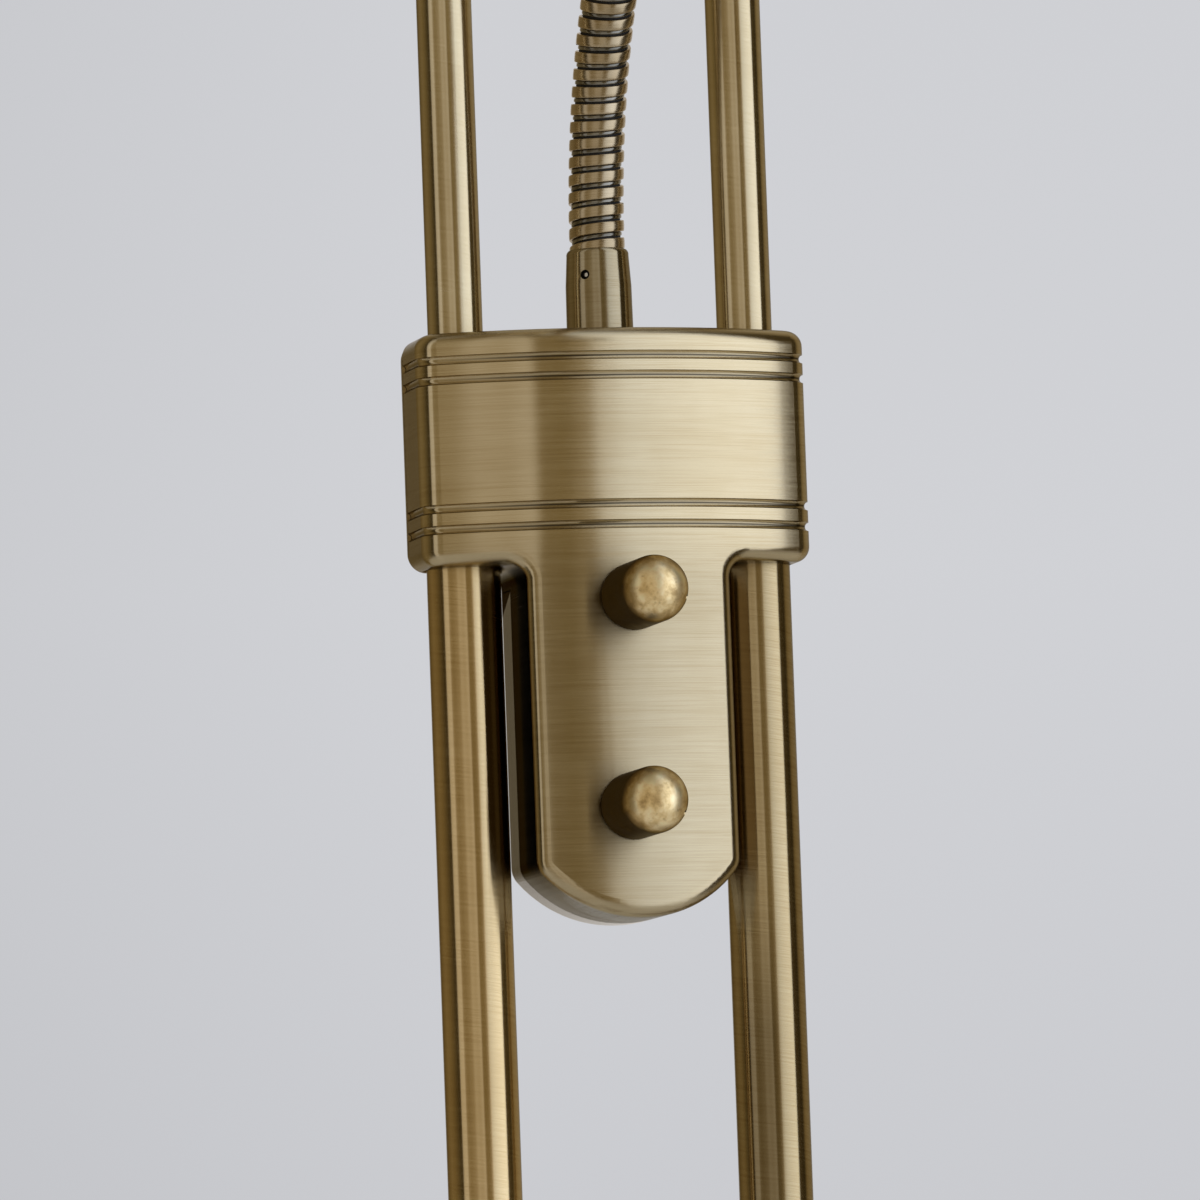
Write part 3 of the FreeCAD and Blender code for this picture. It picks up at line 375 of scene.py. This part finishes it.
def hose_brass(name, low, high, dark, rough, coat):
    """Strip metal, brushed along the strip. U runs along the strip, V across it, in metres."""
    material, g = new_material(name)
    u, v, _ = g.split(g.node("ShaderNodeTexCoord").outputs["UV"])
    streak = g.noise(g.join(g.times(u, 90.0), g.times(v, 5200.0), 0.0), 1.0)
    cloud = g.noise(g.join(g.times(u, 60.0), g.times(v, 60.0), 0.0), 1.0)
    colour = g.mix(g.between(streak, 0.56, 0.34, 0.0, 0.4), g.mottled(cloud, low, high), dark)
    surface = g.shader(colour, g.varied(streak, rough - 0.05, rough + 0.06),
                       g.bump(streak, 0.15, FINE_RELIEF), Metallic=1.0, Anisotropic=0.6,
                       Coat_Weight=coat, Coat_Roughness=0.15)
    g.brush_along(surface, direction_type="UV_MAP")
    return material


def plain_metal(name, low, high, rough, scale=260.0):
    material, g = new_material(name)
    cloud = g.noise(g.place(), scale, 4.0, 0.6)
    g.shader(g.mottled(cloud, low, high), g.varied(cloud, rough - 0.05, rough + 0.07),
             g.bump(cloud, 0.1, 0.0002), Metallic=1.0)
    return material


def screw_in_hole(name, centre, axis):
    """Set screw seen in its hole: painted shade round the edge, where the hole's wall shades it, and a
    bright point in the middle.
    """
    material, g = new_material(name)
    place = g.place()
    from_centre = g.vmath("SUBTRACT", place, tuple(centre))
    off_axis = g.vmath("LENGTH", g.vmath("CROSS_PRODUCT", from_centre, axis))
    cloud = g.noise(place, 900.0)
    shine = g.mix(cloud, (0.62, 0.62, 0.60), (0.80, 0.80, 0.78))
    # The near-black ring round the screw's edge is painted shade
    g.shader(g.mix(g.between(off_axis, *SHINE_EDGE, 0.0, 1.0), shine, (0.008, 0.007, 0.006)),
             g.between(off_axis, *SHINE_EDGE, 0.25, 0.6), g.bump(cloud, 0.1, FINE_RELIEF),
             Metallic=1.0, Specular_Tint=(0.2, 0.2, 0.2, 1.0))
    return material


def dull(name, low, high, rough, scale=300.0):
    """Rubber, moulded plastic, ceramic, laminate or paint."""
    material, g = new_material(name)
    cloud = g.noise(g.place(), scale, 4.0, 0.6)
    g.shader(g.mottled(cloud, low, high), g.varied(cloud, rough - 0.04, rough + 0.06),
             g.bump(cloud, 0.3, 0.0003))
    return material


def glass(name, tint, rough):
    material, g = new_material(name)
    cloud = g.noise(g.place(), 120.0, 2.0)
    g.shader(g.mix(cloud, tint, (0.97, 0.98, 0.98)), g.varied(cloud, rough, rough + 0.03),
             Transmission_Weight=1.0, IOR=1.46)
    return material


# ---------------------------------------------------------------- which part has which material
POLE_X = sum((p.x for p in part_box("lower_pole_right")), 0.0) / 2
HEAD_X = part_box("knuckle_pin")[0].x
SCREW_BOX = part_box("ferrule_screw")
SCREW_TURN = math.radians(38.0)
SCREW_AXIS = (-math.sin(SCREW_TURN), -math.cos(SCREW_TURN), 0.0)
TUBE = {"kind": "tube", "slant": 0.0012, "length": 90.0, "width": 6000.0}
SPUN = {"kind": "spun", "length": 9.0, "width": 1500.0}
STRIP_METAL = hose_brass("hose_strip_brass", (0.40, 0.31, 0.18), (0.56, 0.46, 0.30),
                         (0.24, 0.17, 0.085), 0.26, 0.2)
SEAM_METAL = hose_brass("hose_seam_metal", (0.16, 0.15, 0.12), (0.34, 0.32, 0.27),
                        (0.05, 0.045, 0.035), 0.2, 0.1)
LINER = dull("hose_liner_black", (0.004, 0.004, 0.004), (0.012, 0.011, 0.010), 0.7)

LOOKS = [
    (brass("housing_brass", housing=True, width=5200.0, length=48.0, patina=0.45, relief=0.14),
     ["front_cover", "rear_cover"]),
    (brass("left_pole_brass", at_x=-POLE_X, **TUBE), ["upper_pole_left"]),
    (brass("left_foot_brass", at_x=-POLE_X, golden=(1.06, 0.97, 0.82), patina=0.45, **TUBE),
     ["lower_pole_left"]),
    (brass("right_pole_brass", at_x=POLE_X, **TUBE), ["upper_pole_right"]),
    # The lower right pole: the poles' brass made darker and more streaked, painted shade from the tongue
    # and the left pole beside it
    (brass("right_foot_shaded_brass", "tube", at_x=POLE_X, slant=0.0012, length=70.0, width=9000.0,
           tone=0.80, golden=(1.02, 0.97, 0.86), patina=0.75, relief=0.05,
           shade_top=TONGUE_TOP - 0.07),
     ["lower_pole_right"]),
    (brass("ferrule_brass", "tube", length=160.0, width=5000.0, tone=0.62, patina=0.5, rough=0.18),
     ["arm_ferrule"]),
    (brass("spun_brass", **SPUN), ["base_cover", "uplighter_bowl", "bowl_cup"]),
    (brass("shade_brass", at_x=HEAD_X, **SPUN), ["reading_shade"]),
    (plain_metal("small_brass", (0.50, 0.37, 0.19), (0.66, 0.52, 0.32), 0.26),
     ["base_sockets", "arm_end_ferrule", "knuckle_fork", "knuckle_pin", "knuckle_nut", "shade_eye",
      "shade_cap", "crown_bridge", "crown_cap_nut"]),
    (turned_brass("knob_brass"), ["upper_knob", "lower_knob"]),
    (plain_metal("plated_steel", (0.50, 0.50, 0.48), (0.68, 0.68, 0.66), 0.25),
     ["base_fixings", "cover_screws", "bridge_grub_screws", "dimmer_nuts", "m10_nuts", "arm_nipple",
      "crown_nipple", "shade_nut", "upper_dimmer_shaft", "lower_dimmer_shaft", "glass_clips",
      "lamp_bracket"]),
    (screw_in_hole("set_screw", (SCREW_BOX[0] + SCREW_BOX[1]) / 2, SCREW_AXIS), ["ferrule_screw"]),
    (dull("cast_iron_paint", (0.05, 0.05, 0.055), (0.12, 0.12, 0.12), 0.6, 420.0), ["base_weight"]),
    (plain_metal("bridge_casting", (0.40, 0.41, 0.42), (0.62, 0.63, 0.64), 0.45), ["pole_bridge"]),
    (dull("black_rubber", (0.012, 0.012, 0.012), (0.035, 0.034, 0.033), 0.62, 700.0),
     ["base_pad", "cord_grommet"]),
    (dull("black_plastic", (0.018, 0.018, 0.02), (0.04, 0.04, 0.045), 0.4),
     ["dimmers", "terminal_block"]),
    (dull("board_laminate", (0.05, 0.16, 0.06), (0.10, 0.24, 0.10), 0.35, 600.0), ["dimmer_board"]),
    (dull("white_ceramic", (0.74, 0.72, 0.68), (0.86, 0.85, 0.81), 0.5, 500.0),
     ["lampholders", "capsule_holder"]),
    (glass("lamp_glass", (0.90, 0.93, 0.95), 0.02), ["linear_lamp", "capsule_lamp", "safety_glass"]),
    (plain_metal("spun_aluminium", (0.74, 0.75, 0.76), (0.88, 0.88, 0.89), 0.18, 90.0),
     ["shade_reflector"]),
]
for look, names in LOOKS:
    for name in names:
        nodes[name].data.materials.clear()
        nodes[name].data.materials.append(look)


# ---------------------------------------------------------------- flexible arm
PITCH_T = 0.003834                  # length of arm that one turn of the strip takes
PHASE = math.radians(-91.0)
LINK, LINKS = 0.0342, 12
END_GAP = 0.0005                    # between the hose's ends and the arm's ends
HEADING = math.radians(9.0)         # how far the arm is turned about the upright from straight ahead
HOSE_IN_FERRULE = 0.00685
START_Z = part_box("arm_ferrule")[1].z - HOSE_IN_FERRULE

# The arm's curve as (length, radius): straight up, a bend, a long slight bend, and the crook
FIRST_TURN, SLIGHT_TURN, WHOLE_TURN = (math.radians(a) for a in (28.0, 11.5, 150.0))
BENDS = [(0.008, None), (0.125 * FIRST_TURN, 0.125), (0.8 * SLIGHT_TURN, 0.8)]
CROOK = LINK * LINKS - sum(length for length, _ in BENDS)
BENDS.append((CROOK, CROOK / (WHOLE_TURN - FIRST_TURN - SLIGHT_TURN)))

# Cross-sections as (distance along the arm, radius), in millimetres
STRIP = [(-1.22, 5.30), (-1.22, 5.80), (-1.15, 5.93), (-1.00, 5.99), (-0.5, 6.02), (0.0, 6.03),
         (0.5, 6.02), (1.00, 5.99), (1.15, 5.93), (1.22, 5.80), (1.22, 5.30)]
SEAM = [(1.62, 5.1), (1.66, 5.36), (1.74, 5.44), (2.0, 5.47), (2.40, 5.44), (2.48, 5.36), (2.52, 5.1)]
LINER_RADIUS = 0.0052
STEPS = 36                          # faces in one turn
STRIP_PER_RADIAN = 0.006            # length of strip, for its texture
OVERRUN = 0.003                     # extra strip before it is cut off square


def arm_line(s):
    """Points of the arm's centreline at lengths s, and how far it has turned from upright."""
    s = np.asarray(s, float)
    y, z, lean = np.zeros_like(s), np.full_like(s, START_Z), np.zeros_like(s)
    at = 0.0
    for i, (length, radius) in enumerate(BENDS):
        run = np.clip(s - at, 0.0 if i else -1.0, length)
        if radius is None:
            y, z = y - run * np.sin(lean), z + run * np.cos(lean)
        else:
            new = lean + run / radius
            y = y - radius * (np.cos(lean) - np.cos(new))
            z = z + radius * (np.sin(new) - np.sin(lean))
            lean = new
        at += length
    return y, z, lean


def arm_point(s, theta, radius):
    """Points round the centreline: at length s, angle theta and distance radius from it."""
    y, z, lean = arm_line(s)
    side, back = radius * np.cos(theta), radius * np.sin(theta)
    px, py, pz = side, y + back * np.cos(lean), z + back * np.sin(lean)
    c, h = math.cos(HEADING), math.sin(HEADING)
    return np.stack([c * px - h * py, h * px + c * py, pz], -1)


def sweep(section, s0, s1):
    """Helical ribbon of a cross-section, cut off square to the arm at s0 and s1."""
    section = np.array(section) / 1000.0
    first = math.floor((s0 - OVERRUN) / PITCH_T * STEPS)
    last = math.ceil((s1 + OVERRUN) / PITCH_T * STEPS)
    theta = np.arange(first, last + 1) * 2 * math.pi / STEPS
    s = theta[:, None] * PITCH_T / (2 * math.pi) + section[None, :, 0]
    held = np.clip(s, s0, s1)
    angle = np.broadcast_to(theta[:, None] + PHASE, s.shape)
    points = arm_point(held, angle, section[None, :, 1])
    count = len(section)
    faces = []
    for i in range(len(theta) - 1):
        inside = (s[i:i + 2] > s0 - 1e-9) & (s[i:i + 2] < s1 + 1e-9)
        for j in range(count - 1):
            if inside[:, j:j + 2].any():
                here, there = i * count + j, (i + 1) * count + j
                faces.append((here, there, there + 1, here + 1))
    u = np.broadcast_to(theta[:, None] * STRIP_PER_RADIAN, s.shape)
    v = np.broadcast_to(section[None, :, 0], s.shape)
    return points.reshape(-1, 3), faces, np.stack([u, v], -1).reshape(-1, 2)


def liner(s0, s1):
    """Dark tube inside the strips."""
    rows = np.linspace(s0, s1, 19)
    theta = np.linspace(0, 2 * math.pi, 25)[:-1]
    s, angle = np.meshgrid(rows, theta, indexing="ij")
    points = arm_point(s, angle, LINER_RADIUS).reshape(-1, 3)
    n = len(theta)
    faces = [(i * n + j, i * n + (j + 1) % n, (i + 1) * n + (j + 1) % n, (i + 1) * n + j)
             for i in range(len(rows) - 1) for j in range(n)]
    return points, faces, np.stack([s, angle * 0.005], -1).reshape(-1, 2)


def hose_piece(name, s0, s1):
    """The hose from s0 to s1: strip, seam and liner in one mesh with three slots."""
    verts, faces, uvs, kinds = [], [], [], []
    shells = (sweep(STRIP, s0, s1), sweep(SEAM, s0, s1), liner(s0, s1))
    for kind, (points, quads, uv) in enumerate(shells):
        base = sum(len(p) for p in verts)
        verts.append(points)
        uvs.append(uv)
        faces += [tuple(i + base for i in quad) for quad in quads]
        kinds += [kind] * len(quads)
    verts, uvs = np.concatenate(verts), np.concatenate(uvs)
    used = sorted({i for face in faces for i in face})
    index = {old: new for new, old in enumerate(used)}
    mesh = bpy.data.meshes.new(name)
    mesh.from_pydata(verts[used].tolist(), [], [tuple(index[i] for i in face) for face in faces])
    loops = np.array([i for face in faces for i in face])
    layer = mesh.uv_layers.new(name="strip")
    layer.data.foreach_set("uv", uvs[loops].astype(np.float32).ravel())
    for material in (STRIP_METAL, SEAM_METAL, LINER):
        mesh.materials.append(material)
    mesh.polygons.foreach_set("material_index", kinds)
    mesh.polygons.foreach_set("use_smooth", [True] * len(faces))
    mesh.update()
    made = bpy.data.objects.new(name, mesh)
    scene.collection.objects.link(made)
    return made


# The first and last pieces ride on the stand and the last link; each of the others spans a joint and is
# left unattached
bodies = ["stand"] + ["hose_link_%02d" % (i + 1) for i in range(1, LINKS)]
for i in range(LINKS + 1):
    low = END_GAP if i == 0 else (i - 0.5) * LINK
    high = LINKS * LINK - END_GAP if i == LINKS else (i + 0.5) * LINK
    piece = hose_piece("hose_strip_%02d" % i, low, high)
    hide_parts("arm_link_%02d" % max(i, 1))
    if i == 0:
        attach(piece, bodies[0])
    elif i == LINKS:
        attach(piece, bodies[-1])
    else:
        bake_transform(piece)

# ---------------------------------------------------------------- floor
bpy.ops.mesh.primitive_circle_add(vertices=96, radius=1.7, fill_type="NGON", location=(0, 0, 0))
floor = bpy.context.object
floor.name = "floor"
floor_material, g = new_material("pale_floor")
pale = g.mix(g.noise(g.place(), 3.0), (0.80, 0.805, 0.815), (0.84, 0.845, 0.855))
g.shader(pale, 0.8, Emission_Color=pale, Emission_Strength=0.22)
floor.data.materials.append(floor_material)

# ---------------------------------------------------------------- studio light
# Brightness round the lamp, by the angle in degrees from the camera's side towards its right
STOPS = [(-180, 0.62), (-162, 0.60), (-152, 0.24), (-119, 0.25), (-103, 0.20), (-89, 0.13),
         (-76, 0.06), (-69, 0.07), (-66, 0.62), (-52, 0.64), (-49, 0.33), (-40, 0.29), (-24, 0.38),
         (-17, 0.54), (-5, 0.50), (5.5, 0.60), (7.5, 0.25), (19, 0.25), (26.5, 0.40), (28.3, 0.80),
         (33, 0.92), (38, 1.04), (44, 1.13), (52, 1.23), (76, 1.45), (78.8, 1.42), (80.8, 0.09),
         (104, 0.04), (116, 0.25), (138, 0.42), (155, 0.60), (180, 0.62)]
WARM, NEUTRAL = (1.05, 0.80, 0.385), (1.0, 1.07, 1.25)
# The same from straight down (0) to straight up (1)
HEIGHTS = [(0.0, 0.3), (0.15, 0.6), (0.25, 1.0), (0.85, 1.0), (0.95, 0.6), (1.0, 0.5)]
# The backdrop that the camera sees, from a little below the horizon upwards
BACKDROP = [(0.0, (0.545, 0.552, 0.578)), (0.35, (0.60, 0.607, 0.636)),
            (0.6, (0.635, 0.642, 0.670)), (1.0, (0.62, 0.627, 0.655))]


def studio_colour(brightness):
    """Dark parts of the studio are warm, bright ones neutral."""
    share = min(1.0, max(0.0, (brightness - 0.22) / 0.78)) ** 0.8
    return tuple(brightness * (w + (n - w) * share) for w, n in zip(WARM, NEUTRAL))


world = bpy.data.worlds.new("studio")
scene.world = world
world.use_nodes = True
g = Graph(world.node_tree)
direction = g.node("ShaderNodeTexCoord").outputs["Generated"]
to_camera = (-math.sin(YAW), -math.cos(YAW), 0.0)
towards_right = g.vmath("DOT_PRODUCT", direction, (math.cos(YAW), -math.sin(YAW), 0.0))
round_angle = g.math("ARCTAN2", towards_right, g.vmath("DOT_PRODUCT", direction, to_camera))
rise = g.split(direction)[2]

ring = g.ramp(g.between(round_angle, -math.pi, math.pi, 0.0, 1.0),
              [((angle + 180) / 360, studio_colour(value)) for angle, value in STOPS])
glow = g.mix(1.0, ring, g.ramp(g.between(rise, -1.0, 1.0, 0.0, 1.0), HEIGHTS), "MULTIPLY")
seen = g.ramp(g.between(rise, -0.02, 0.16, 0.0, 1.0), BACKDROP)
darker_left = g.ramp(g.between(towards_right, -0.055, -0.015, 0.0, 1.0), [(0.0, 0.93), (1.0, 1.0)])
seen = g.mix(1.0, seen, darker_left, "MULTIPLY")

light = g.node("ShaderNodeBackground", Color=glow, Strength=1.0)
back = g.node("ShaderNodeBackground", Color=seen, Strength=1.0)
both = g.nodes.new("ShaderNodeMixShader")
g.links.new(g.node("ShaderNodeLightPath").outputs["Is Camera Ray"], both.inputs[0])
g.links.new(light.outputs[0], both.inputs[1])
g.links.new(back.outputs[0], both.inputs[2])
g.links.new(both.outputs[0], g.nodes.new("ShaderNodeOutputWorld").inputs[0])

scene.view_settings.view_transform = "Standard"
scene.view_settings.look = "None"
scene.view_settings.exposure = 0.0
